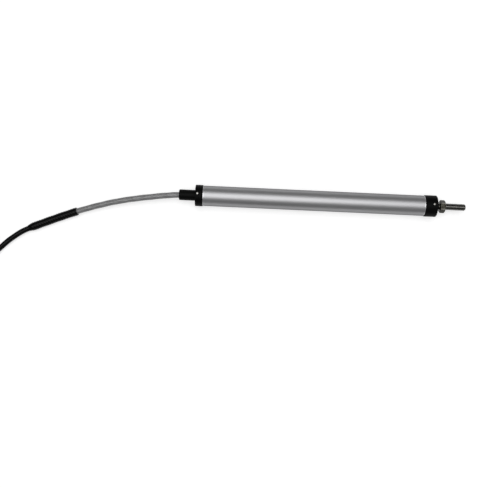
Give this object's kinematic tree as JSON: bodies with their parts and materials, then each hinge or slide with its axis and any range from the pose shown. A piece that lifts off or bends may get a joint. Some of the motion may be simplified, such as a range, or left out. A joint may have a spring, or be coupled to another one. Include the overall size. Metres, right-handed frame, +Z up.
{
  "type": "linear potentiometer",
  "caption": "Slim cylindrical rod-type linear potentiometer with black end caps, a threaded pull rod with a lock nut, and a cable that ends in flying leads.",
  "frame": {"origin": "on the surface that the sensor lies on, under the middle of the sensor from the boot's mouth to the rod's tip", "axes": "+X along the sensor towards the rod's tip, +Z up, +Y towards the side that the cap screws lean to"},
  "size_m": [0.4956, 0.094, 0.019],
  "materials": {
    "satin_anodised_tube": "satin clear anodised",
    "black_anodised_cap": "black anodised",
    "screw_steel": "bright",
    "seal_rubber": "moulded",
    "bush_bronze": "sintered bronze",
    "rail_plastic": "moulded",
    "board_laminate": "glass laminate",
    "carbon_track": "printed conductive plastic",
    "silver_track": "printed silver ink",
    "tinned_pin": "tinned",
    "red_core": "extruded",
    "white_core": "extruded",
    "green_core": "extruded",
    "boot_rubber": "moulded",
    "grey_jacket": "extruded",
    "heat_shrink": "shrunk polyolefin",
    "black_jacket": "extruded",
    "carriage_plastic": "machined acetal",
    "wiper_bronze": "stamped",
    "washer_plastic": "skived",
    "rod_stainless": "ground, rolled thread",
    "clip_steel": "phosphated",
    "nut_zinc": "zinc plated"
  },
  "bodies": {
    "housing": {"housing_tube": "satin_anodised_tube", "front_cap": "black_anodised_cap", "rear_cap": "black_anodised_cap", "front_cap_screw": "screw_steel", "rear_cap_screw": "screw_steel", "front_o_ring": "seal_rubber", "rear_o_ring": "seal_rubber", "rod_bush": "bush_bronze", "wiper_seal": "seal_rubber", "front_bumper": "seal_rubber", "rear_bumper": "seal_rubber", "element_rail": "rail_plastic", "element_board": "board_laminate", "resistance_track": "carbon_track", "collector_track": "silver_track", "return_trace": "silver_track", "solder_terminals": "tinned_pin", "core_wire_red": "red_core", "core_wire_white": "white_core", "core_wire_green": "green_core", "cable_boot": "boot_rubber", "signal_cable": "grey_jacket", "splice_sleeve": "heat_shrink", "signal_lead": "black_jacket", "lead_coil": "black_jacket", "lead_tail": "black_jacket", "flying_core_red": "red_core", "flying_core_white": "white_core", "flying_core_green": "green_core"},
    "carriage": {"carriage": "carriage_plastic", "wiper": "wiper_bronze", "thrust_washer": "washer_plastic"},
    "rod": {"pull_rod": "rod_stainless", "retaining_clip": "clip_steel", "lock_nut": "nut_zinc"}
  },
  "joints": [
    {"name": "carriage_slide", "type": "slide", "parent": "housing", "child": "carriage", "axis": [1, 0, 0], "range_m": [0, 0.15]},
    {"name": "rod_turn", "type": "hinge", "parent": "carriage", "child": "rod", "pos_m": [0, 0, 0.0095], "axis": [1, 0, 0], "continuous": true}
  ]
}
